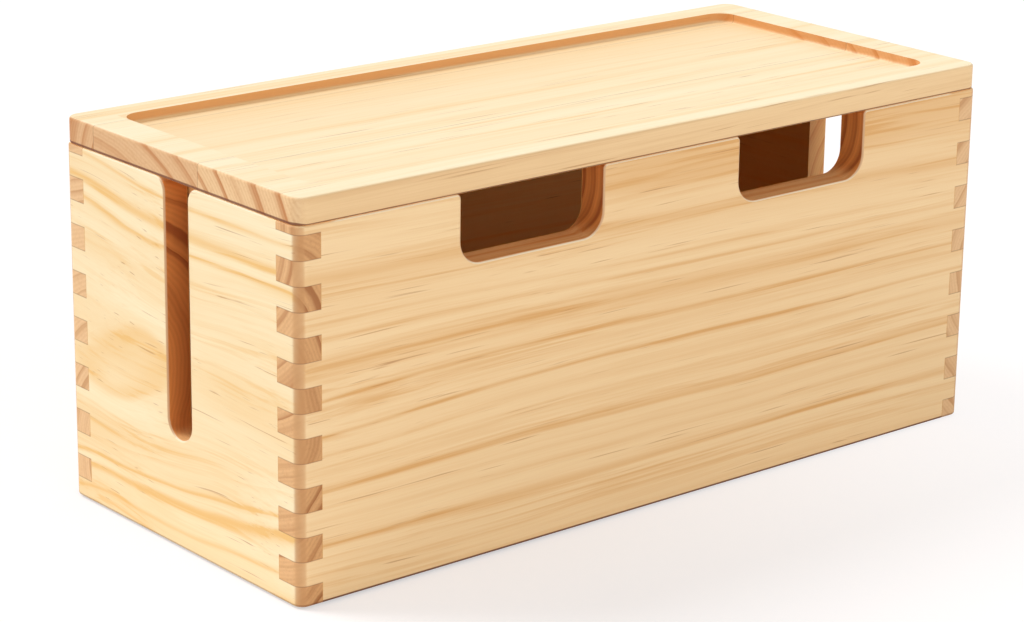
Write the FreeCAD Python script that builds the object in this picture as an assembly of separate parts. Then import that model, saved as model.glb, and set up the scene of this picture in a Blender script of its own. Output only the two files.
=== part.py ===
import FreeCAD, Part
import os

# A pine cable box that stands on a desk. Four boards are joined at the corners by box joints,
# a thin floor sits in a groove, and a loose lid of three glued staves rests on the boards.
# Sizes are millimetres. The origin is under the middle of the box, on the desk. +X runs along
# the box, -Y is the side with the two cable notches, and +Z is up.

# Overall sizes of the box without its lid
box_length = 370.0
box_depth = 160.0
wall_height = 152.0

# Boards
long_board = 13.5
end_board = 11.0
wall_corner_radius = 4.5
wall_edge_radius = 1.0

# Box joints, counted from the top edge down: a part finger of the long boards comes first
finger_width = 10.0
top_part_finger = 3.4

# Open-topped cable notches in the front board, each placed by its distance from one end
notch_width = 73.0
notch_depth = 29.0
notch_bottom_radius = 10.0
notch_lip_radius = 2.0
left_notch_from_end = 78.0
right_notch_from_end = 71.0

# Open-topped cable slot in the middle of each end board, with a half-round bottom. The one at
# the right end is wider.
left_slot_width = 16.0
right_slot_width = 22.0
slot_height_above_foot = 46.0
slot_lip_radius = 6.0

# Floor panel, held in a stopped groove all round
floor_thickness = 5.0
floor_height = 6.0
floor_tongue = 4.5
floor_side_gap = 0.5
floor_face_gap = 0.2

# Round pads let into the bottom edges of the long boards
pad_diameter = 9.0
pad_thickness = 1.8
pad_proud = 0.8
pad_from_end = 22.0

# Lid, glued up from three staves whose joints run along the box
lid_thickness = 11.0
front_stave = 64.5
middle_stave = 73.5
lid_corner_radius = 6.0
lid_top_edge_radius = 1.2
lid_bottom_edge_radius = 1.0

# Shallow tray cut into the top of the lid
tray_depth = 4.0
tray_rim_long = 14.0
tray_rim_end = 17.0
tray_corner_radius = 9.0
tray_cove_radius = 1.5

# Battens across the underside of the lid, which drop between the boards and locate it
batten_width = 22.0
batten_thickness = 10.0
batten_gap = 1.0
batten_chamfer = 2.0

# Countersunk screws that hold the battens to the staves
screw_diameter = 3.0
screw_head_diameter = 5.8
screw_length = 15.0
screw_from_seam = 36.0
batten_hole_clearance = 0.2
driver_slot_width = 1.0
driver_slot_depth = 1.1

# Room that a cutting shape gets past the face that it opens
overrun = 5.0

# Places worked out from the sizes above
half_length = box_length / 2
half_depth = box_depth / 2
foot_z = pad_proud
rim_z = foot_z + wall_height
lid_top_z = rim_z + lid_thickness
inner_half_length = half_length - end_board
inner_half_depth = half_depth - long_board
tray_floor_z = lid_top_z - tray_depth


def slab(x_low, x_high, y_low, y_high, z_low, z_high):
    """A plain block between the given planes."""
    size = (x_high - x_low, y_high - y_low, z_high - z_low)
    return Part.makeBox(*size, FreeCAD.Vector(x_low, y_low, z_low))


def edges_where(shape, test):
    """The straight edges of a shape whose two ends both pass a test."""
    found = []
    for edge in shape.Edges:
        ends = [vertex.Point for vertex in edge.Vertexes]
        if len(ends) == 2 and test(ends[0], ends[1]):
            found.append(edge)
    return found


def is_vertical(a, b):
    """True when an edge stands straight up."""
    return abs(a.x - b.x) < 1e-6 and abs(a.y - b.y) < 1e-6


def edges_at_height(shape, z):
    """All edges that lie in one level plane, curved ones too."""
    found = []
    for edge in shape.Edges:
        box = edge.BoundBox
        if abs(box.ZMin - z) < 1e-6 and abs(box.ZMax - z) < 1e-6:
            found.append(edge)
    return found


def rounded_block(half_x, half_y, z_low, z_high, corner, top_edge, bottom_edge):
    """A block with round vertical corners and eased top and bottom edges."""
    block = slab(-half_x, half_x, -half_y, half_y, z_low, z_high)
    block = block.makeFillet(corner, edges_where(block, is_vertical))
    if top_edge > 0:
        block = block.makeFillet(top_edge, edges_at_height(block, z_high))
    if bottom_edge > 0:
        block = block.makeFillet(bottom_edge, edges_at_height(block, z_low))
    return block


def finger_levels(of_end_board):
    """Low and high edges of every finger of one kind of board, from the top down."""
    levels = []
    high = rim_z
    low = rim_z - top_part_finger
    belongs_to_end = False
    while high - foot_z > 1e-6:
        if belongs_to_end == of_end_board:
            levels.append((max(low, foot_z), high))
        high = low
        low = high - finger_width
        belongs_to_end = not belongs_to_end
    return levels


def lipped_cut(centre, width, bottom_z, bottom_radius, lip_radius):
    """A face in the XZ plane: an open-topped cut with round bottom corners and round lips."""
    half = width / 2
    top = rim_z
    turn = 0.5 ** 0.5

    def at(x, z):
        return FreeCAD.Vector(centre + x, 0, z)

    lip_mid = lip_radius * (1 - turn)
    low_mid = bottom_radius * (1 - turn)
    outline = [
        Part.LineSegment(at(-half - lip_radius, top + overrun), at(-half - lip_radius, top)),
        Part.Arc(at(-half - lip_radius, top), at(-half - lip_mid, top - lip_mid),
                 at(-half, top - lip_radius)),
        Part.LineSegment(at(-half, top - lip_radius), at(-half, bottom_z + bottom_radius)),
        Part.Arc(at(-half, bottom_z + bottom_radius), at(-half + low_mid, bottom_z + low_mid),
                 at(-half + bottom_radius, bottom_z)),
    ]
    if half - bottom_radius > 1e-6:
        bottom = Part.LineSegment(at(-half + bottom_radius, bottom_z), at(half - bottom_radius, bottom_z))
        outline.append(bottom)
    outline += [
        Part.Arc(at(half - bottom_radius, bottom_z), at(half - low_mid, bottom_z + low_mid),
                 at(half, bottom_z + bottom_radius)),
        Part.LineSegment(at(half, bottom_z + bottom_radius), at(half, top - lip_radius)),
        Part.Arc(at(half, top - lip_radius), at(half + lip_mid, top - lip_mid), at(half + lip_radius, top)),
        Part.LineSegment(at(half + lip_radius, top), at(half + lip_radius, top + overrun)),
        Part.LineSegment(at(half + lip_radius, top + overrun), at(-half - lip_radius, top + overrun)),
    ]
    return Part.Face(Part.Wire([piece.toShape() for piece in outline]))


def notch_cutter(centre):
    """The solid that opens one cable notch through the front board."""
    bottom = rim_z - notch_depth
    face = lipped_cut(centre, notch_width, bottom, notch_bottom_radius, notch_lip_radius)
    face.translate(FreeCAD.Vector(0, -half_depth - overrun, 0))
    return face.extrude(FreeCAD.Vector(0, long_board + 2 * overrun, 0))


def slot_cutter(side, width):
    """The solid that opens the cable slot through the end board on one side."""
    bottom = foot_z + slot_height_above_foot
    face = lipped_cut(0, width, bottom, width / 2, slot_lip_radius)
    face.rotate(FreeCAD.Vector(0, 0, 0), FreeCAD.Vector(0, 0, 1), 90)
    face.translate(FreeCAD.Vector(side * (half_length - end_board / 2) - end_board / 2 - overrun, 0, 0))
    return face.extrude(FreeCAD.Vector(end_board + 2 * overrun, 0, 0))


def pad_place(side_x, side_y):
    """Where the centre of one pad lies, under the middle of a long board's edge."""
    return (side_x * (half_length - pad_from_end), side_y * (half_depth - long_board / 2))


def pad(side_x, side_y):
    """One soft round pad, with its lower rim eased."""
    x, y = pad_place(side_x, side_y)
    body = Part.makeCylinder(pad_diameter / 2, pad_thickness, FreeCAD.Vector(x, y, 0))
    return body.makeFillet(pad_proud / 2, edges_at_height(body, 0))


def pad_socket(side_x, side_y):
    """The shallow hole that one pad is let into."""
    x, y = pad_place(side_x, side_y)
    depth = overrun + pad_thickness - pad_proud
    return Part.makeCylinder(pad_diameter / 2, depth, FreeCAD.Vector(x, y, foot_z - overrun))


def floor_panel():
    """The floor, whose tongue reaches into the grooves on all four sides."""
    half_x = inner_half_length + floor_tongue - floor_side_gap
    half_y = inner_half_depth + floor_tongue - floor_side_gap
    low = foot_z + floor_height
    return slab(-half_x, half_x, -half_y, half_y, low, low + floor_thickness)


def floor_groove():
    """The space that the floor's grooves take from the boards."""
    half_x = inner_half_length + floor_tongue
    half_y = inner_half_depth + floor_tongue
    low = foot_z + floor_height
    return slab(-half_x, half_x, -half_y, half_y, low, low + floor_thickness + floor_face_gap)


def on_outer_skin(point):
    """True for a point on the upright outside of the walls, round corners included."""
    from_x = abs(point.x) - (half_length - wall_corner_radius)
    from_y = abs(point.y) - (half_depth - wall_corner_radius)
    if from_x > 0 and from_y > 0:
        return abs((from_x ** 2 + from_y ** 2) ** 0.5 - wall_corner_radius) < 1e-6
    return abs(max(from_x, from_y) - wall_corner_radius) < 1e-6


def outer_arrises(block):
    """Every edge of the outer skin: round the top, round the foot and round each opening."""
    found = []
    for edge in block.Edges:
        middle = edge.valueAt((edge.FirstParameter + edge.LastParameter) / 2)
        points = [vertex.Point for vertex in edge.Vertexes] + [middle]
        full_height = edge.BoundBox.ZLength > wall_height - 1e-6
        if all(on_outer_skin(point) for point in points) and not full_height:
            found.append(edge)
    return found


def wall_envelope():
    """The outside of the four boards together, with its openings, round corners and eased edges."""
    left_notch = notch_cutter(-half_length + left_notch_from_end + notch_width / 2)
    right_notch = notch_cutter(half_length - right_notch_from_end - notch_width / 2)
    openings = [left_notch, right_notch, slot_cutter(-1, left_slot_width), slot_cutter(1, right_slot_width)]
    block = slab(-half_length, half_length, -half_depth, half_depth, foot_z, rim_z)
    block = block.makeFillet(wall_corner_radius, edges_where(block, is_vertical)).cut(openings)
    return block.makeFillet(wall_edge_radius, outer_arrises(block))


def long_wall(side, envelope):
    """The front (side -1) or back (side 1) board, with gaps for the end boards' fingers."""
    inner = side * inner_half_depth
    outer = side * half_depth
    board = slab(-half_length, half_length, min(inner, outer), max(inner, outer), foot_z, rim_z)
    wall = envelope.common(board)
    y_low = min(inner, outer + side * overrun)
    y_high = max(inner, outer + side * overrun)
    gaps = []
    for low, high in finger_levels(True):
        low = low - overrun if low <= foot_z else low
        gaps.append(slab(-half_length - overrun, -inner_half_length, y_low, y_high, low, high))
        gaps.append(slab(inner_half_length, half_length + overrun, y_low, y_high, low, high))
    sockets = [pad_socket(-1, side), pad_socket(1, side)]
    return wall.cut(gaps + sockets + [floor_groove()]).removeSplitter()


def end_wall(side, envelope):
    """The left (side -1) or right (side 1) board, with its fingers and its cable slot."""
    inner = side * inner_half_length
    outer = side * half_length
    board = slab(min(inner, outer), max(inner, outer), -half_depth, half_depth, foot_z, rim_z)
    wall = envelope.common(board)
    x_low = min(inner, outer + side * overrun)
    x_high = max(inner, outer + side * overrun)
    gaps = []
    for low, high in finger_levels(False):
        high = high + overrun if high >= rim_z else high
        gaps.append(slab(x_low, x_high, -half_depth - overrun, -inner_half_depth, low, high))
        gaps.append(slab(x_low, x_high, inner_half_depth, half_depth + overrun, low, high))
    return wall.cut(gaps + [floor_groove()]).removeSplitter()


def batten_place(side):
    """Low and high X of one batten, which stands just inside an end board."""
    outer = inner_half_length - batten_gap
    ends = (side * outer, side * (outer - batten_width))
    return min(ends), max(ends)


def screw_places(side):
    """Centres of the two screws of one batten: one in the front stave, one in the middle stave."""
    x_low, x_high = batten_place(side)
    seam = -half_depth + front_stave
    x = (x_low + x_high) / 2
    return [(x, seam - screw_from_seam), (x, seam + screw_from_seam)]


def screw(x, y):
    """One countersunk screw, head down and flush with the batten, with a cross-shaped recess."""
    head_z = rim_z - batten_thickness
    head_height = (screw_head_diameter - screw_diameter) / 2
    head = Part.makeCone(screw_head_diameter / 2, screw_diameter / 2, head_height,
                         FreeCAD.Vector(x, y, head_z))
    shank = Part.makeCylinder(screw_diameter / 2, screw_length - head_height,
                              FreeCAD.Vector(x, y, head_z + head_height))
    reach = screw_diameter / 2
    half = driver_slot_width / 2
    top = head_z + driver_slot_depth
    cross = slab(x - reach, x + reach, y - half, y + half, head_z - overrun, top)
    cross = cross.fuse(slab(x - half, x + half, y - reach, y + reach, head_z - overrun, top))
    return head.fuse(shank).cut(cross).removeSplitter()


def screw_hole_in_batten(x, y):
    """The countersink and the clearance hole that one screw passes through."""
    head_z = rim_z - batten_thickness
    head_height = (screw_head_diameter - screw_diameter) / 2
    sink = Part.makeCone(screw_head_diameter / 2, screw_diameter / 2, head_height,
                         FreeCAD.Vector(x, y, head_z))
    radius = (screw_diameter + batten_hole_clearance) / 2
    hole = Part.makeCylinder(radius, batten_thickness, FreeCAD.Vector(x, y, head_z + head_height))
    return sink.fuse(hole)


def screw_hole_in_lid(x, y):
    """The blind hole that one screw bites into."""
    length = screw_length - batten_thickness
    return Part.makeCylinder(screw_diameter / 2, length, FreeCAD.Vector(x, y, rim_z))


def batten(side):
    """One batten under the lid, chamfered below so that it drops in easily."""
    x_low, x_high = batten_place(side)
    half_y = inner_half_depth - batten_gap
    low = rim_z - batten_thickness
    block = slab(x_low, x_high, -half_y, half_y, low, rim_z)
    block = block.makeChamfer(batten_chamfer, edges_at_height(block, low))
    return block.cut([screw_hole_in_batten(x, y) for x, y in screw_places(side)])


def tray_cutter():
    """The shallow tray, with round corners and a small cove where its sides meet its floor."""
    block = rounded_block(half_length - tray_rim_end, half_depth - tray_rim_long, tray_floor_z,
                          lid_top_z + overrun, tray_corner_radius, 0, tray_cove_radius)
    return block


def lid_panel():
    """The whole lid before it is parted into staves."""
    panel = rounded_block(half_length, half_depth, rim_z, lid_top_z, lid_corner_radius, lid_top_edge_radius,
                          lid_bottom_edge_radius)
    holes = [screw_hole_in_lid(x, y) for side in (-1, 1) for x, y in screw_places(side)]
    return panel.cut([tray_cutter()] + holes)


def stave(panel, y_low, y_high):
    """The part of the lid between two glue joints."""
    return panel.common(slab(-half_length, half_length, y_low, y_high, rim_z - overrun, lid_top_z + overrun))


def build():
    """Every piece of the box, under its own name."""
    envelope = wall_envelope()
    panel = lid_panel()
    first_seam = -half_depth + front_stave
    second_seam = first_seam + middle_stave
    screws = [screw(x, y) for side in (-1, 1) for x, y in screw_places(side)]
    return {
        "front_wall": long_wall(-1, envelope),
        "back_wall": long_wall(1, envelope),
        "left_end": end_wall(-1, envelope),
        "right_end": end_wall(1, envelope),
        "floor_panel": floor_panel(),
        "pad_front_left": pad(-1, -1),
        "pad_front_right": pad(1, -1),
        "pad_back_left": pad(-1, 1),
        "pad_back_right": pad(1, 1),
        "lid_front_stave": stave(panel, -half_depth, first_seam),
        "lid_middle_stave": stave(panel, first_seam, second_seam),
        "lid_back_stave": stave(panel, second_seam, half_depth),
        "lid_batten_left": batten(-1),
        "lid_batten_right": batten(1),
        "lid_screws": Part.makeCompound(screws),
    }


os.makedirs("parts", exist_ok=True)
for node, shape in build().items():
    shape.exportStep("parts/" + node + ".step")
    box = shape.BoundBox
    print(node, "solids", len(shape.Solids), "valid", shape.isValid(), "volume", round(shape.Volume),
          "x", round(box.XMin, 2), round(box.XMax, 2), "y", round(box.YMin, 2), round(box.YMax, 2),
          "z", round(box.ZMin, 2), round(box.ZMax, 2))
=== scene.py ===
# %% [markdown]
# A pine cable box. The boards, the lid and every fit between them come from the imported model,
# so this lesson is about finishing them: it builds pine that is cut from one round log, so that
# rings, long grain and end grain agree with each other wherever a board is cut.

# %% Load the frame
import math
import bmesh
import bpy
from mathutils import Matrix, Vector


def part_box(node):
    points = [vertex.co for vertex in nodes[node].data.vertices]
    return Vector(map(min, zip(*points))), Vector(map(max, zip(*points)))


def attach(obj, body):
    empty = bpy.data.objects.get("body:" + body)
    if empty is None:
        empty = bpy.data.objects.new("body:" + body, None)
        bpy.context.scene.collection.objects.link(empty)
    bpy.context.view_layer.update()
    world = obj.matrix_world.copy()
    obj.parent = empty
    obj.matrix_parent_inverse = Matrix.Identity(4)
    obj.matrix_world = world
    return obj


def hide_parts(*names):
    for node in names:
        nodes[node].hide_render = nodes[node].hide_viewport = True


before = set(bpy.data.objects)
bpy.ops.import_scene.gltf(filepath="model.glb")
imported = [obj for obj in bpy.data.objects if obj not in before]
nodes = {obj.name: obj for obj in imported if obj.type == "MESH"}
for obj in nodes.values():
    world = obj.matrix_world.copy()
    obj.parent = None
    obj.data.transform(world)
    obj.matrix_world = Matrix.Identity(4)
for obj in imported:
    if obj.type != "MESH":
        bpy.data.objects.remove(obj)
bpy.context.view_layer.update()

from types import SimpleNamespace
from mathutils import Matrix, Vector

print("nodes:", sorted(nodes))

# %% [markdown]
# The camera stands in front of the left corner and a little above the box. Its place was found
# by matching the straight edges of the box in the photograph, which is 1024 pixels wide. A long
# lens far away gives the gentle perspective there, and the principal point stays in the middle,
# so no shift is needed.

# %% Camera
photo_width_px = 1024
focal_px = 3126.9
sensor_mm = 36.0
camera_place = Vector((-0.8357, -0.9783, 0.4721))
camera_azimuth = math.radians(-40.033)
camera_elevation = math.radians(17.561)
camera_roll = math.radians(0.79)
farthest_seen = 50.0

camera_data = bpy.data.cameras.new("camera")
camera_data.sensor_width = sensor_mm
camera_data.lens = focal_px / photo_width_px * sensor_mm
camera_data.clip_end = farthest_seen
camera = bpy.data.objects.new("camera", camera_data)
camera.matrix_world = (Matrix.Translation(camera_place) @ Matrix.Rotation(camera_azimuth, 4, "Z")
                       @ Matrix.Rotation(math.pi / 2 - camera_elevation, 4, "X")
                       @ Matrix.Rotation(camera_roll, 4, "Z"))
bpy.context.scene.collection.objects.link(camera)
bpy.context.scene.camera = camera
print("lens in millimetres:", round(camera_data.lens, 2))

# %% [markdown]
# A material is a small network of nodes. These helpers each add one node and wire it up, so that
# a recipe further down reads like the steps that it takes. A value passed in may be a number or
# the output of an earlier node. The first group does arithmetic.

# %% Helpers for node recipes
def plug(tree, socket, value):
    """Feeds a socket with a number, a colour or another node's output."""
    if isinstance(value, bpy.types.NodeSocket):
        tree.links.new(value, socket)
    elif value is not None:
        socket.default_value = value


def calc(tree, operation, a, b=None, c=None, clamp=False):
    """One arithmetic step."""
    made = tree.nodes.new("ShaderNodeMath")
    made.operation = operation
    made.use_clamp = clamp
    for socket, value in zip(made.inputs, (a, b, c)):
        plug(tree, socket, value)
    return made.outputs[0]


def vector_calc(tree, operation, a, b=None):
    """One step on a vector. Length gives a number."""
    made = tree.nodes.new("ShaderNodeVectorMath")
    made.operation = operation
    plug(tree, made.inputs[0], a)
    plug(tree, made.inputs[1], b)
    return made.outputs["Value" if operation in ("LENGTH", "DOT_PRODUCT") else "Vector"]


def soft_step(tree, value, low, high, to_low=0.0, to_high=1.0):
    """Turns a value into a smooth ramp between two limits."""
    made = tree.nodes.new("ShaderNodeMapRange")
    made.interpolation_type = "SMOOTHSTEP"
    for name, number in (("From Min", low), ("From Max", high), ("To Min", to_low), ("To Max", to_high)):
        made.inputs[name].default_value = number
    plug(tree, made.inputs["Value"], value)
    return made.outputs["Result"]


print("arithmetic helpers ready")

# %% [markdown]
# The second group makes patterns and colours. Noise is counted in cells per metre along X, Y and
# Z. Few cells along the grain and many across it give the long streaks of wood.

# %% Helpers for patterns and colours
def noise(tree, vector, cells, detail=2.0, roughness=0.5, colour=False):
    """Cloudy noise with its own number of cells in a metre along each axis."""
    made = tree.nodes.new("ShaderNodeTexNoise")
    plug(tree, made.inputs["Vector"], vector_calc(tree, "MULTIPLY", vector, cells))
    made.inputs["Scale"].default_value = 1.0
    made.inputs["Detail"].default_value = detail
    made.inputs["Roughness"].default_value = roughness
    return made.outputs["Color" if colour else "Fac"]


def mix_colour(tree, amount, a, b):
    """Lays colour b over colour a."""
    made = tree.nodes.new("ShaderNodeMix")
    made.data_type = "RGBA"
    made.clamp_factor = True
    plug(tree, made.inputs[0], amount)
    plug(tree, made.inputs[6], a)
    plug(tree, made.inputs[7], b)
    return made.outputs[2]


def ramp(tree, value, stops):
    """A smooth curve through grey levels, given as pairs of place and level."""
    made = tree.nodes.new("ShaderNodeValToRGB")
    made.color_ramp.interpolation = "EASE"
    elements = made.color_ramp.elements
    while len(elements) < len(stops):
        elements.new(0.5)
    for element, (place, level) in zip(elements, stops):
        element.position = place
        element.color = (level, level, level, 1.0)
    plug(tree, made.inputs[0], value)
    return made.outputs[0]


def tone(red, green, blue):
    """A colour as a paint chart gives it, 0 to 255, in the linear values that a shader takes."""
    def linear(v):
        v = v / 255
        return v / 12.92 if v <= 0.04045 else ((v + 0.055) / 1.055) ** 2.4
    return (linear(red), linear(green), linear(blue), 1.0)


print("pattern helpers ready")

# %% [markdown]
# The third group starts a material, splits a vector, adds a fine relief, and puts a material on a
# piece. The relief is bump, which changes how light falls and leaves the mesh alone.

# %% Helpers for materials
def new_material(name):
    """A material, its node tree and its shader."""
    material = bpy.data.materials.new(name)
    material.use_nodes = True
    return material, material.node_tree, material.node_tree.nodes["Principled BSDF"]


def split(tree, vector):
    """The three numbers of a vector."""
    made = tree.nodes.new("ShaderNodeSeparateXYZ")
    plug(tree, made.inputs[0], vector)
    return made.outputs


def relief(tree, shader, height, strength, depth):
    """Fine relief from a height of 0 to 1. depth is in metres."""
    made = tree.nodes.new("ShaderNodeBump")
    made.inputs["Strength"].default_value = strength
    made.inputs["Distance"].default_value = depth
    plug(tree, made.inputs["Height"], height)
    plug(tree, shader.inputs["Normal"], made.outputs[0])


def finish(node, material):
    """Gives every slot of one piece the same material."""
    slots = nodes[node].material_slots
    for slot in slots:
        slot.material = material
    if not slots:
        nodes[node].data.materials.append(material)


print("material helpers ready")

# %% [markdown]
# The finish has to know where a board ends and where its neighbours meet it. Those sizes are read
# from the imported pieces. The few that no piece ends at are written here, in metres.

# %% Sizes that the finish follows
foot_z, rim_z = (corner[2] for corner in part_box("front_wall"))
inner_half_length = -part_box("left_end")[1][0]
inner_half_depth = -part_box("front_wall")[1][1]
lid_seams = [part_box(stave)[1][1] for stave in ("lid_front_stave", "lid_middle_stave")]
finger_width = 0.010
top_part_finger = 0.0034
tray_half_length = 0.168
tray_half_depth = 0.066
glue_line = 0.00016
dark_arris = 0.00055
hair = 0.0002
print("glue joints of the lid at", [round(seam, 4) for seam in lid_seams])

# %% [markdown]
# A board is a slice of a log. Long faces show the growth rings as stripes and arches, and cut
# ends show them as arcs. Painting each face by itself would never line up, so this recipe makes
# rings round a line of pith that lies somewhere beside the board, measures how far each point is
# from it, and lets the cuts show what they show. Slow noise bends the rings, and each ring gets
# its own strength. Late wood is the dark part of a ring: it grows slowly darker and then stops
# short, which the sharp curve follows. The soft curve is for long faces, where a ring is cut at a
# low angle and looks blurred.

# %% Rings of the log
fine_bend_share = 0.10
swings_per_ring, swing_in_rings = 0.35, 2.4
weakest_ring = 0.2
sharp_late_wood = ((0.0, 0.0), (0.42, 0.04), (0.78, 0.50), (0.93, 1.0), (1.0, 0.0))
soft_late_wood = ((0.0, 0.30), (0.22, 0.04), (0.50, 0.10), (0.84, 1.0), (1.0, 0.30))


def rings(tree, place, along, ring_width, bend, wave, taper, seed):
    """The bent place, its distance from the pith, and its late wood with a sharp and a soft edge."""
    def sway(start, cells, detail, reach):
        cloud = noise(tree, vector_calc(tree, "ADD", place, start), cells, detail, colour=True)
        centred = vector_calc(tree, "SUBTRACT", cloud, (0.5, 0.5, 0.5))
        return vector_calc(tree, "MULTIPLY", centred, (0, reach, reach))

    bent = vector_calc(tree, "ADD", place, sway((seed, 0, 0), (wave, 11, 11), 1.0, bend))
    bent = vector_calc(tree, "ADD", bent, sway((seed, 5, 0), (14, 70, 70), 2.0, bend * fine_bend_share))
    radius = vector_calc(tree, "LENGTH", vector_calc(tree, "MULTIPLY", bent, (0, 1, 1)))
    radius = calc(tree, "MULTIPLY_ADD", along, taper, radius)
    uneven = tree.nodes.new("ShaderNodeTexNoise")
    uneven.noise_dimensions = "1D"
    plug(tree, uneven.inputs["W"], calc(tree, "MULTIPLY_ADD", radius, swings_per_ring / ring_width, seed))
    uneven.inputs["Scale"].default_value = 1.0
    even_count = calc(tree, "DIVIDE", radius, ring_width)
    count = calc(tree, "MULTIPLY_ADD", uneven.outputs["Fac"], swing_in_rings, even_count)
    within = calc(tree, "FRACT", count)
    own = tree.nodes.new("ShaderNodeTexWhiteNoise")
    own.noise_dimensions = "1D"
    plug(tree, own.inputs["W"], calc(tree, "ADD", calc(tree, "FLOOR", count), seed))
    strength = calc(tree, "MULTIPLY_ADD", own.outputs["Value"], 1.0 - weakest_ring, weakest_ring)
    sharp, soft = (calc(tree, "MULTIPLY", ramp(tree, within, curve), strength)
                   for curve in (sharp_late_wood, soft_late_wood))
    return bent, radius, sharp, soft


print("late wood peaks at", sharp_late_wood[3][0], "of a ring")

# %% [markdown]
# Pine has more in it than rings. Broad bands are slow changes of colour, streaks are thin lines
# that gather in groups, flecks are short resin ducts, and fibres are too fine to count. Each is
# noise with few cells along the grain. All of them share the bent place of the rings, so that
# they flow round the same arches.

# %% Figure of a board
seed_step_along = 1.7
fleck_strength = 0.55
fibre_strength = 0.12
ring_strength, streak_strength = 0.62, 0.42
ungrouped_streaks = 0.25
hatch_width = 0.00085
hatch_strength = 0.22
sharp_on_ends, soft_on_ends, pores_on_ends = 0.75, 0.42, 0.20


def board_figure(tree, on, pith, ring_width, seed, slope=0.0, bend=0.012, wave=2.6, taper=0.0,
                 figure=1.0, lines=1.0, broad_share=0.25):
    """The layers of one board's figure. pith is its place across the grain, then its height."""
    log = tree.nodes.new("ShaderNodeCombineXYZ")
    plug(tree, log.inputs[0], on.along)
    plug(tree, log.inputs[1], calc(tree, "SUBTRACT", on.across, pith[0]))
    level = calc(tree, "MULTIPLY_ADD", on.along, -slope, on.z)
    plug(tree, log.inputs[2], calc(tree, "SUBTRACT", level, pith[1]))
    place = log.outputs[0]
    bent, radius, sharp, soft = rings(tree, place, on.along, ring_width, bend, wave, taper, seed)

    shifted = vector_calc(tree, "ADD", bent, (seed * seed_step_along, 0, seed))
    broad = noise(tree, shifted, (2.2, 38, 38), 2.0)
    groups = noise(tree, shifted, (3.5, 90, 90), 2.0)
    thin = noise(tree, shifted, (6, 420, 420), 3.0, 0.62)
    fibres = noise(tree, shifted, (30, 1900, 1900), 2.0)
    flecks = soft_step(tree, noise(tree, shifted, (17, 1100, 1100), 1.5), 0.66, 0.78)
    grouped = soft_step(tree, calc(tree, "MULTIPLY_ADD", soft, 0.35, groups), 0.42, 0.78)
    grouped = calc(tree, "MULTIPLY_ADD", grouped, 1.0 - ungrouped_streaks, ungrouped_streaks)
    streaks = calc(tree, "MULTIPLY", soft_step(tree, thin, 0.46, 0.66), grouped)
    streaks = calc(tree, "MULTIPLY", streaks, streak_strength * lines)
    deep = calc(tree, "MULTIPLY_ADD", soft, ring_strength * figure, streaks)
    deep = calc(tree, "ADD", deep, soft_step(tree, broad, 0.35, 0.75, 0.0, broad_share), clamp=True)

    hatch = calc(tree, "PINGPONG", calc(tree, "DIVIDE", radius, hatch_width), 1.0)
    hatch = calc(tree, "MULTIPLY", hatch, hatch_strength)
    deep_end = calc(tree, "MULTIPLY_ADD", sharp, sharp_on_ends, hatch)
    deep_end = calc(tree, "MULTIPLY_ADD", soft, soft_on_ends, deep_end, clamp=True)
    pores = soft_step(tree, noise(tree, place, (900, 900, 900), 2.0), 0.45, 0.75, 0.0, pores_on_ends)
    return SimpleNamespace(deep=deep, flecks=flecks, fibres=fibres, thin=thin, soft=soft,
                           deep_end=deep_end, pores=pores)


def long_grain(tree, wood, pale, deep):
    """The colour of a face that is cut along the grain."""
    made = mix_colour(tree, wood.deep, pale, deep)
    made = mix_colour(tree, calc(tree, "MULTIPLY", wood.flecks, fleck_strength), made, fleck_brown)
    return mix_colour(tree, soft_step(tree, wood.fibres, 0.3, 0.8, 0.0, fibre_strength), made, deep)


def end_grain(tree, wood, pale, deep):
    """The colour of a face that is cut across the grain."""
    return mix_colour(tree, wood.pores, mix_colour(tree, wood.deep_end, pale, deep), deep)


print("one fine line of the end grain is", hatch_width * 1000, "mm wide")

# %% [markdown]
# Oil makes pine golden, and how deep it goes depends on the cut. Cut ends drink most. The cuts for the
# cables and the inside of the box are painted deeper than the planed faces, as painted shade, and the far
# cut of the right slot is painted paler, as painted light from outside. The tones are written as on a
# paint chart.

# %% Tones of oiled pine
# The inside tones are painted shade: the inside of the box is painted deeper than its wood, as it looks
# in shade.
shaded_inner_pale, shaded_inner_deep = tone(255, 200, 122), tone(255, 180, 96)
# The cuts of the openings are painted darker than the boards' own end grain, as painted shade.
shaded_cut_pale, shaded_cut_deep = tone(226, 144, 74), tone(168, 90, 42)
# The far cut of the right slot is painted paler, as painted light.
painted_daylight_cut = tone(255, 200, 126), tone(232, 152, 84)
# The floors of the cuts are painted shade.
shaded_cut_floor = tone(252, 204, 142)
tray_gold = tone(238, 186, 108)
fleck_brown = tone(172, 104, 48)
# A painted highlight for the eased arrises.
painted_highlight = tone(255, 240, 208)
# Dark glue lines, and the lines of painted shade under the lid and along the foot.
glue_and_shade_line = tone(112, 54, 26)
print("tones ready")

# %% [markdown]
# A wall is more than its faces. Glue shows as a thin dark line round each finger of the corner joints.
# The arrises round the openings are eased and carry a painted highlight, the rounded corners show a
# little end grain, the inside and the cuts carry painted shade, and a line of painted shade runs along
# the foot. Each of these is found by height, by distance from a joint, or by the way the surface faces.

# %% What a wall adds
finger_glue = 0.42
highlight_share = 0.75
cut_fade_near, cut_fade_far = 0.004, 0.008
edge_band = 3 * dark_arris
corner_pale_share, corner_deep_share = 0.60, 0.30


def thin_line(tree, distance, strength):
    """A glue line, dark in its middle and soft at its edges."""
    return soft_step(tree, distance, glue_line * 0.4, glue_line * 2, strength, 0.0)


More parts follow.
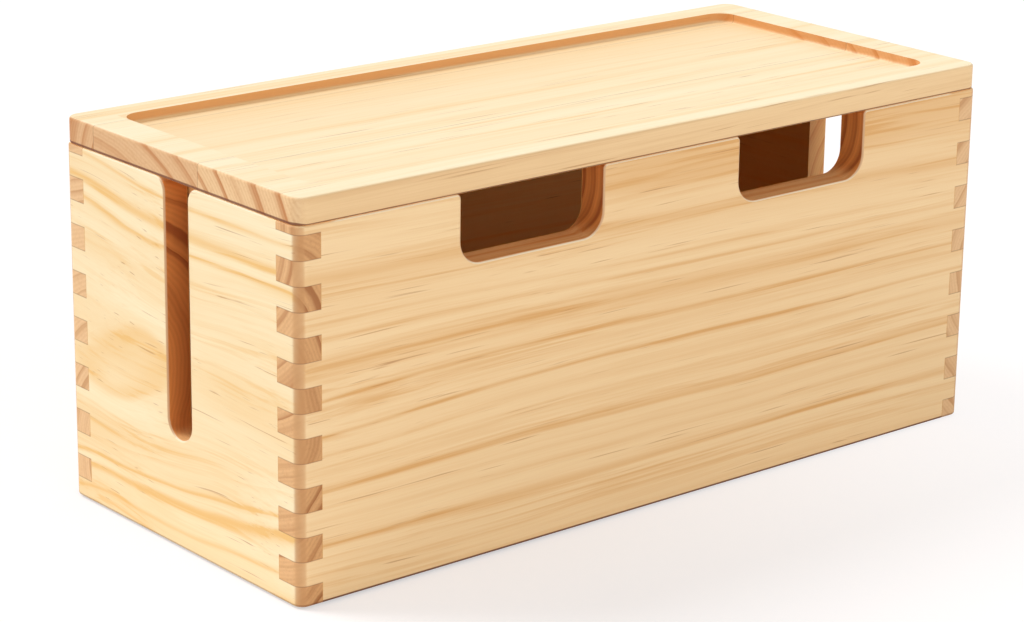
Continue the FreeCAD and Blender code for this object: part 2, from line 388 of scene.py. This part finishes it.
def finger_lines(tree, on, inner_along, inner_across):
    """How strongly a point belongs to the glue line round a finger of the corner joints."""
    level = calc(tree, "DIVIDE", calc(tree, "SUBTRACT", rim_z - top_part_finger, on.z), finger_width)
    whole = calc(tree, "SUBTRACT", calc(tree, "FRACT", calc(tree, "ADD", level, 0.5)), 0.5)
    to_edge = calc(tree, "MULTIPLY", calc(tree, "ABSOLUTE", whole), finger_width)
    to_root = calc(tree, "ABSOLUTE", calc(tree, "SUBTRACT", on.far_across, inner_across))
    near = calc(tree, "MINIMUM", to_edge, to_root)
    outside = calc(tree, "GREATER_THAN", on.far_along, inner_along)
    return calc(tree, "MULTIPLY", thin_line(tree, near, finger_glue), outside)


def wall_colour(tree, on, wood, face, end, tones):
    """A wall's colour: its faces and ends, its glue lines, a painted highlight on its arrises, and
    painted shade on its cuts, its inside and along its foot.
    """
    inner_along, inner_across = on.in_grain_order(inner_half_length, inner_half_depth)
    mid_board = soft_step(tree, on.far_along, inner_along - cut_fade_far, inner_along - cut_fade_near,
                          1.0, 0.0)
    # The end grain inside the openings takes the painted tones of a cut.
    painted_cut_end = mix_colour(tree, wood.deep_end, *tones.cut)
    end = mix_colour(tree, mid_board, end, painted_cut_end)
    not_side = soft_step(tree, on.side_facing, 0.3, 0.8, 1.0, 0.0)
    below_rim = calc(tree, "LESS_THAN", on.z, rim_z - edge_band)
    above_foot = calc(tree, "GREATER_THAN", on.z, foot_z + edge_band)
    # The floors of the cuts get painted shade.
    in_cut = calc(tree, "MULTIPLY", calc(tree, "MULTIPLY", not_side, mid_board),
                  calc(tree, "MULTIPLY", below_rim, above_foot))
    face = mix_colour(tree, in_cut, face, long_grain(tree, wood, shaded_cut_floor, shaded_cut_pale))
    colour = mix_colour(tree, on.ends, face, end)

    # The eased arrises away from the corners get a painted highlight.
    squared = calc(tree, "MULTIPLY", on.side_facing, on.side_facing)
    rounded = calc(tree, "MULTIPLY", squared, calc(tree, "SUBTRACT", 1.0, squared))
    highlight_mask = calc(tree, "MULTIPLY", soft_step(tree, rounded, 0.04, 0.20, 0.0, highlight_share), mid_board)
    colour = mix_colour(tree, highlight_mask, colour, painted_highlight)
    cornered = calc(tree, "MULTIPLY", on.end_facing, on.side_facing)
    for share, deeper in ((corner_pale_share, tones.end_early), (corner_deep_share, tones.end_late)):
        colour = mix_colour(tree, soft_step(tree, cornered, 0.12, 0.42, 0.0, share), colour, deeper)

    # Faces inside the box take the painted shade of the inside.
    inward = calc(tree, "LESS_THAN", on.far_across, inner_across + hair)
    colour = mix_colour(tree, inward, colour, long_grain(tree, wood, shaded_inner_pale, shaded_inner_deep))
    colour = mix_colour(tree, finger_lines(tree, on, inner_along, inner_across), colour, glue_and_shade_line)
    # A thin line of painted shade along the foot, where the box meets the floor.
    low = soft_step(tree, on.z, foot_z + 1.6 * dark_arris, foot_z + 2.5 * dark_arris, 1.0, 0.0)
    return mix_colour(tree, calc(tree, "MULTIPLY", low, tones.foot_line), colour, glue_and_shade_line)


print("glue lines are", glue_line * 1000, "mm wide")

# %% [markdown]
# The lid has a tray, whose floor grows a little more golden towards the back and whose steep edge carries
# the painted shade of the other cuts. Below, the lid and its battens have the painted shade of the
# inside. Two glue joints run along it, and its lower arris carries a dark line of painted shade, where
# the lid meets the walls, wider on the sawn ends.

# %% What the lid adds
seam_glue, lid_shade_line = 0.36, 0.85
least_gold, most_gold, tray_edge_share = 0.04, 0.34, 0.52
gold_starts_y, gold_full_y = -0.020, 0.055
downward = -0.8


def below_colour(tree, on, wood, colour):
    """Paints the shade of the inside onto downward faces at the rim and below it."""
    inward = calc(tree, "MULTIPLY", calc(tree, "LESS_THAN", on.up_facing, downward),
                  calc(tree, "LESS_THAN", on.z, rim_z + hair))
    return mix_colour(tree, inward, colour, long_grain(tree, wood, shaded_inner_pale, shaded_inner_deep))


def lid_colour(tree, on, wood, colour):
    """The lid's colour: its tray, its glue joints, and painted shade on the tray's edge, the underside
    and the lower arris.
    """
    in_length = calc(tree, "LESS_THAN", on.far_along, tray_half_length + hair)
    in_depth = calc(tree, "LESS_THAN", on.far_across, tray_half_depth + hair)
    in_tray = calc(tree, "MULTIPLY", in_length, in_depth)
    in_tray = calc(tree, "MULTIPLY", in_tray, calc(tree, "GREATER_THAN", on.z, rim_z + 4 * dark_arris))
    golden = soft_step(tree, on.across, gold_starts_y, gold_full_y, least_gold, most_gold)
    colour = mix_colour(tree, calc(tree, "MULTIPLY", in_tray, golden), colour, tray_gold)
    # The tray's steep edge gets the painted shade of a cut.
    steep = soft_step(tree, calc(tree, "ABSOLUTE", on.up_facing), 0.3, 0.8, tray_edge_share, 0.0)
    colour = mix_colour(tree, calc(tree, "MULTIPLY", in_tray, steep), colour, shaded_cut_pale)
    colour = below_colour(tree, on, wood, colour)
    for seam in lid_seams:
        to_seam = calc(tree, "ABSOLUTE", calc(tree, "SUBTRACT", on.across, seam))
        colour = mix_colour(tree, thin_line(tree, to_seam, seam_glue), colour, glue_and_shade_line)
    # A line of painted shade along the lower arris, where the lid sits on the walls.
    edge_height = calc(tree, "MULTIPLY_ADD", on.ends, -1.1 * dark_arris, on.z)
    low = soft_step(tree, edge_height, rim_z + dark_arris, rim_z + 1.6 * dark_arris, lid_shade_line, 0.0)
    low = calc(tree, "MULTIPLY", low, calc(tree, "GREATER_THAN", on.z, rim_z + hair))
    return mix_colour(tree, low, colour, glue_and_shade_line)


print("the tray's edge takes", tray_edge_share, "of the tone of a cut")

# %% [markdown]
# Now the pieces come together. A point's surroundings are read once, in the order of the grain,
# so that the same recipe serves boards that run along X and boards that run along Y. The satin
# finish is a little duller where the wood is soft, and a very low relief follows the rings.

# %% The pine recipe
ring_relief, fibre_relief = 0.35, 0.6
wood_shine = 0.30


def read_surface(tree, grain):
    """Where a point lies and how its surface faces, along the grain (X or Y) and across it."""
    def in_grain_order(of_x, of_y):
        return (of_x, of_y) if grain == "X" else (of_y, of_x)

    surface = tree.nodes.new("ShaderNodeTexCoord")
    x, y, z = split(tree, surface.outputs["Object"])
    x_facing, y_facing, up_facing = split(tree, surface.outputs["Normal"])
    along, across = in_grain_order(x, y)
    end_facing, side_facing = (calc(tree, "ABSOLUTE", way) for way in in_grain_order(x_facing, y_facing))
    return SimpleNamespace(along=along, across=across, z=z, far_along=calc(tree, "ABSOLUTE", along),
                           far_across=calc(tree, "ABSOLUTE", across), end_facing=end_facing,
                           side_facing=side_facing, up_facing=up_facing, in_grain_order=in_grain_order,
                           ends=soft_step(tree, end_facing, 0.22, 0.86))


def pine(name, grain, early, late, end_early, end_late, place_in="wall", shaded_side=None,
         cut=(shaded_cut_pale, shaded_cut_deep), foot_line=0.95, **log):
    """Oiled pine for a wall, the lid or a batten. log says how the board lay in its tree."""
    material, tree, shader = new_material(name)
    on = read_surface(tree, grain)
    wood = board_figure(tree, on, **log)
    face = long_grain(tree, wood, early, late)
    if shaded_side is not None:
        # Faces along the sides take the painted shade tone.
        on_side = soft_step(tree, on.side_facing, 0.35, 0.90)
        face = mix_colour(tree, on_side, face, long_grain(tree, wood, *shaded_side))
    end = end_grain(tree, wood, end_early, end_late)
    if place_in == "wall":
        # cut holds the painted tones of the cuts: painted shade, or painted light on the right slot.
        tones = SimpleNamespace(cut=cut, end_early=end_early, end_late=end_late, foot_line=foot_line)
        colour = wall_colour(tree, on, wood, face, end, tones)
    elif place_in == "lid":
        colour = lid_colour(tree, on, wood, mix_colour(tree, on.ends, face, end))
    else:
        colour = below_colour(tree, on, wood, mix_colour(tree, on.ends, face, end))
    plug(tree, shader.inputs["Base Color"], colour)
    plug(tree, shader.inputs["Roughness"], soft_step(tree, wood.thin, 0.2, 0.8, 0.46, 0.60))
    shader.inputs["Specular IOR Level"].default_value = wood_shine
    height = calc(tree, "MULTIPLY", wood.fibres, fibre_relief)
    height = calc(tree, "MULTIPLY_ADD", wood.soft, ring_relief, height)
    relief(tree, shader, height, strength=0.10, depth=0.0004)
    return material


print("pine recipe ready")

# %% [markdown]
# The four walls. Both long boards are cut with the heart of the tree towards the inside of the box, and
# the end boards with it outside, which is what the arcs on the fingers show. The end boards came from
# paler wood, and the fingers at the far corners are paler too.

# %% Walls
long_wood = dict(early=tone(254, 222, 172), late=tone(228, 174, 108), bend=0.013, wave=3.2, figure=0.95,
                 lines=1.2, broad_share=0.22)
side_wood = dict(early=tone(253, 236, 197), late=tone(240, 194, 122), figure=1.25, lines=0.9,
                 broad_share=0.48, foot_line=0.45)
long_ends = dict(end_early=tone(232, 184, 130), end_late=tone(190, 132, 82))
side_ends = dict(end_early=tone(222, 168, 112), end_late=tone(170, 110, 62))
far_ends = dict(end_early=tone(238, 196, 146), end_late=tone(206, 154, 104))
front_pine = pine("pine_front", "X", pith=(-0.030, 0.150), ring_width=0.0065, seed=3.9, slope=-0.008,
                  **long_wood, **long_ends)
back_pine = pine("pine_back", "X", pith=(0.028, 0.020), ring_width=0.0065, seed=8.4, slope=-0.010,
                 **long_wood, **far_ends)
left_pine = pine("pine_left", "Y", pith=(-0.236, 0.078), ring_width=0.0080, seed=5.3, bend=0.028,
                 wave=7.5, taper=-0.03, **side_wood, **side_ends)
# The right end's cuts take painted light instead of painted shade.
right_pine = pine("pine_right", "Y", pith=(0.232, 0.070), ring_width=0.0080, seed=6.9, slope=-0.02,
                  bend=0.028, wave=7.5, taper=0.03, cut=painted_daylight_cut, **side_wood, **far_ends)
for node, material in (("front_wall", front_pine), ("back_wall", back_pine),
                       ("left_end", left_pine), ("right_end", right_pine)):
    finish(node, material)
print("walls finished")

# %% [markdown]
# The lid is three staves glued edge to edge. Each came from its own board, so each has its own pith, and
# the arcs on the left end of the lid change direction at the glue joints. The long sawn edges are painted
# deeper than the planed top, as painted shade.

# %% Lid
# The second pair of tones is the painted shade of the long edges.
lid_wood = dict(early=tone(254, 237, 201), late=tone(244, 208, 150), end_late=tone(196, 132, 78),
                shaded_side=(tone(248, 212, 160), tone(202, 148, 90)), figure=0.7, lines=0.9, place_in="lid")
lid_front = pine("pine_lid_front", "X", pith=(0.030, 0.108), ring_width=0.0095, seed=1.2, slope=0.02,
                 bend=0.010, end_early=tone(240, 202, 152), **lid_wood)
lid_middle = pine("pine_lid_middle", "X", pith=(0.062, 0.060), ring_width=0.0125, seed=2.6, bend=0.010,
                  end_early=tone(228, 186, 138), **lid_wood)
lid_back = pine("pine_lid_back", "X", pith=(0.020, 0.140), ring_width=0.0085, seed=4.7, bend=0.008,
                end_early=tone(226, 182, 134), **lid_wood)
batten_pine = pine("pine_batten", "Y", pith=(0.10, 0.10), ring_width=0.0040, seed=9.6,
                   early=tone(248, 206, 146), late=tone(232, 176, 108), place_in="batten", **side_ends)
for node, material in (("lid_front_stave", lid_front), ("lid_middle_stave", lid_middle),
                       ("lid_back_stave", lid_back), ("lid_batten_left", batten_pine),
                       ("lid_batten_right", batten_pine)):
    finish(node, material)
print("lid finished")

# %% [markdown]
# The floor is thin plywood. Its faces are birch, with faint broad figure, and its edges would
# show the layers. Thin bands by height give those layers wherever the surface stands upright.

# %% Plywood floor
layer_thickness = 0.001


def plywood(name):
    """Birch plywood: soft figure on the faces and stacked layers on the edges."""
    material, tree, shader = new_material(name)
    surface = tree.nodes.new("ShaderNodeTexCoord")
    place = surface.outputs["Object"]
    figure = noise(tree, place, (6, 40, 40), 3.0)
    fibres = noise(tree, place, (40, 900, 900), 2.0)
    face = mix_colour(tree, soft_step(tree, figure, 0.3, 0.7), tone(250, 212, 156), tone(236, 184, 122))
    face = mix_colour(tree, soft_step(tree, fibres, 0.4, 0.8, 0.0, 0.3), face, tone(214, 160, 100))
    layers = calc(tree, "PINGPONG", calc(tree, "DIVIDE", split(tree, place)[2], layer_thickness), 1.0)
    edge = mix_colour(tree, soft_step(tree, layers, 0.35, 0.65), tone(222, 188, 140), tone(150, 104, 64))
    up_facing = calc(tree, "ABSOLUTE", split(tree, surface.outputs["Normal"])[2])
    upright = soft_step(tree, up_facing, 0.3, 0.7, 1.0, 0.0)
    plug(tree, shader.inputs["Base Color"], mix_colour(tree, upright, face, edge))
    plug(tree, shader.inputs["Roughness"], soft_step(tree, fibres, 0.2, 0.8, 0.55, 0.70))
    relief(tree, shader, fibres, strength=0.12, depth=0.0003)
    return material


finish("floor_panel", plywood("birch_plywood"))
print("floor finished")

# %% [markdown]
# The screws under the lid are zinc-plated steel. Real heads carry fine rings from the turning,
# but each is only a few millimetres wide, so a fine noise that is much denser in height than
# across stands in for them, with slow patches where the plating is duller.

# %% Screws
def plated_steel(name):
    """Zinc-plated steel with fine marks and a few duller patches."""
    material, tree, shader = new_material(name)
    place = tree.nodes.new("ShaderNodeTexCoord").outputs["Object"]
    patches = noise(tree, place, (300, 300, 300), 2.0)
    marks = noise(tree, place, (900, 900, 6000), 2.0)
    colour = mix_colour(tree, patches, tone(206, 204, 198), tone(170, 168, 160))
    plug(tree, shader.inputs["Base Color"], colour)
    shader.inputs["Metallic"].default_value = 1.0
    plug(tree, shader.inputs["Roughness"], soft_step(tree, patches, 0.3, 0.7, 0.26, 0.42))
    relief(tree, shader, marks, strength=0.15, depth=0.0001)
    return material


finish("lid_screws", plated_steel("screw_steel"))
print("screws finished")

# %% [markdown]
# The box stands on four small rubber pads. A moulded pad isn't a plain disc: its face is
# slightly domed at the rim, and a ring is sunk round its middle so that it grips. A disc is
# inset twice and moved in steps, which keeps the mesh small and every shape a real one.

# %% Rubber pads
def rubber(name):
    """Soft dark rubber with a fine grain and a trace of dust."""
    material, tree, shader = new_material(name)
    place = tree.nodes.new("ShaderNodeTexCoord").outputs["Object"]
    dust = noise(tree, place, (420, 420, 420), 3.0)
    grain = noise(tree, place, (5200, 5200, 5200), 1.0)
    dusty = soft_step(tree, dust, 0.45, 0.8, 0.0, 0.5)
    plug(tree, shader.inputs["Base Color"], mix_colour(tree, dusty, tone(58, 55, 52), tone(104, 99, 92)))
    plug(tree, shader.inputs["Roughness"], soft_step(tree, dust, 0.2, 0.8, 0.66, 0.86))
    relief(tree, shader, grain, strength=0.25, depth=0.0001)
    return material


pad_rubber = rubber("pad_rubber")
pad_rim_ease = 0.0004
pad_ring_inset = 0.0011
pad_ring_width = 0.0007
pad_ring_depth = 0.00025


def moulded_pad(node):
    """One pad in the place of its plain disc, with an eased rim and a sunk ring."""
    low, high = (Vector(corner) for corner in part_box(node))
    centre = (low + high) / 2
    radius = (high.x - low.x) / 2
    mesh = bmesh.new()
    bmesh.ops.create_cone(mesh, cap_ends=True, segments=64, radius1=radius, radius2=radius,
                          depth=high.z - low.z, matrix=Matrix.Translation(centre))
    rim = [edge for edge in mesh.edges if all(abs(v.co.z - low.z) < 1e-6 for v in edge.verts)]
    bmesh.ops.bevel(mesh, geom=rim, offset=pad_rim_ease, offset_type="OFFSET", affect="EDGES",
                    segments=4, profile=0.5, material=-1)
    face = min(mesh.faces, key=lambda f: f.calc_center_median().z)
    bmesh.ops.inset_individual(mesh, faces=[face], thickness=pad_ring_inset)
    inner = bmesh.ops.inset_individual(mesh, faces=[face], thickness=pad_ring_width)
    sunk = bmesh.ops.extrude_face_region(mesh, geom=inner["faces"])
    down = [part for part in sunk["geom"] if isinstance(part, bmesh.types.BMVert)]
    bmesh.ops.translate(mesh, verts=down, vec=(0, 0, pad_ring_depth))
    bmesh.ops.delete(mesh, geom=inner["faces"], context="FACES")
    bmesh.ops.recalc_face_normals(mesh, faces=mesh.faces)
    data = bpy.data.meshes.new(node + "_moulded")
    mesh.to_mesh(data)
    mesh.free()
    piece = bpy.data.objects.new(node + "_moulded", data)
    bpy.context.scene.collection.objects.link(piece)
    data.materials.append(pad_rubber)
    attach(piece, "box")
    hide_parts(node)
    return piece


for node in ("pad_front_left", "pad_front_right", "pad_back_left", "pad_back_right"):
    made = moulded_pad(node)
    print(made.name, "faces:", len(made.data.polygons))

# %% [markdown]
# The studio: a pale floor, an even white sky and one soft lamp from behind on the left, which
# lights the lid and the left end and leaves the front a little calmer, as in the photograph. A
# weak second lamp opens the front. The floor shows the camera a paler copy of its own shadow,
# palest on the right, so the background stays white without more light on the box.

# %% Studio floor
floor_half = 4.0
floor_mesh = bmesh.new()
bmesh.ops.create_grid(floor_mesh, x_segments=1, y_segments=1, size=floor_half)
floor_data = bpy.data.meshes.new("studio_floor")
floor_mesh.to_mesh(floor_data)
floor_mesh.free()
studio_floor = bpy.data.objects.new("studio_floor", floor_data)
bpy.context.scene.collection.objects.link(studio_floor)

floor_colour = (0.97, 0.95, 0.955, 1.0)
floor_glow, floor_glow_level = (1.0, 0.975, 0.970, 1.0), 1.08
shadow_kept_near, shadow_kept_far = 0.50, 0.20
near_x, far_x = -0.10, 0.25
floor_paint = bpy.data.materials.new("studio_floor")
floor_paint.use_nodes = True
tree = floor_paint.node_tree
tree.nodes.clear()
matt = tree.nodes.new("ShaderNodeBsdfDiffuse")
matt.inputs["Color"].default_value = floor_colour
glow = tree.nodes.new("ShaderNodeEmission")
glow.inputs["Color"].default_value = floor_glow
glow.inputs["Strength"].default_value = floor_glow_level
ray = tree.nodes.new("ShaderNodeLightPath")
x = split(tree, tree.nodes.new("ShaderNodeTexCoord").outputs["Object"])[0]
glow_share = soft_step(tree, x, near_x, far_x, 1.0 - shadow_kept_near, 1.0 - shadow_kept_far)
both = tree.nodes.new("ShaderNodeMixShader")
plug(tree, both.inputs[0], calc(tree, "MULTIPLY", ray.outputs["Is Camera Ray"], glow_share))
plug(tree, both.inputs[1], matt.outputs[0])
plug(tree, both.inputs[2], glow.outputs[0])
plug(tree, tree.nodes.new("ShaderNodeOutputMaterial").inputs[0], both.outputs[0])
floor_data.materials.append(floor_paint)
print("floor shows the camera", shadow_kept_near, "to", shadow_kept_far, "of its shadow")

# %% [markdown]
# The sky is white to the camera and in reflections, and dimmer as a light, so that the box keeps
# its tone while the background stays white. Two far lamps do the rest. Their wide angle is what
# makes their shadows soft.

# %% Sky and lamps
sky_level = 0.55
world = bpy.data.worlds.new("studio")
bpy.context.scene.world = world
world.use_nodes = True
tree = world.node_tree
tree.nodes.clear()
ray = tree.nodes.new("ShaderNodeLightPath")
seen = calc(tree, "MAXIMUM", ray.outputs["Is Camera Ray"], ray.outputs["Is Glossy Ray"])
seen = calc(tree, "MAXIMUM", seen, ray.outputs["Is Transmission Ray"])
lit = tree.nodes.new("ShaderNodeBackground")
lit.inputs["Strength"].default_value = sky_level
white = tree.nodes.new("ShaderNodeBackground")
white.inputs["Strength"].default_value = 1.0
for back in (lit, white):
    back.inputs["Color"].default_value = (1.0, 1.0, 1.0, 1.0)
both = tree.nodes.new("ShaderNodeMixShader")
plug(tree, both.inputs[0], seen)
plug(tree, both.inputs[1], lit.outputs[0])
plug(tree, both.inputs[2], white.outputs[0])
plug(tree, tree.nodes.new("ShaderNodeOutputWorld").inputs[0], both.outputs[0])


def soft_sun(name, towards, level, softness):
    """A far lamp. level is how bright it makes a white surface that faces it, softness is in degrees."""
    data = bpy.data.lights.new(name, "SUN")
    data.energy = level * math.pi
    data.angle = math.radians(softness)
    lamp = bpy.data.objects.new(name, data)
    lamp.rotation_euler = Vector(towards).to_track_quat("Z", "Y").to_euler()
    bpy.context.scene.collection.objects.link(lamp)
    print(name, "level", level)


soft_sun("key_lamp", towards=(-0.38, 0.55, 0.74), level=0.60, softness=26)
soft_sun("front_lamp", towards=(-0.10, -0.94, 0.32), level=0.20, softness=60)
bpy.context.scene.view_settings.view_transform = "Standard"
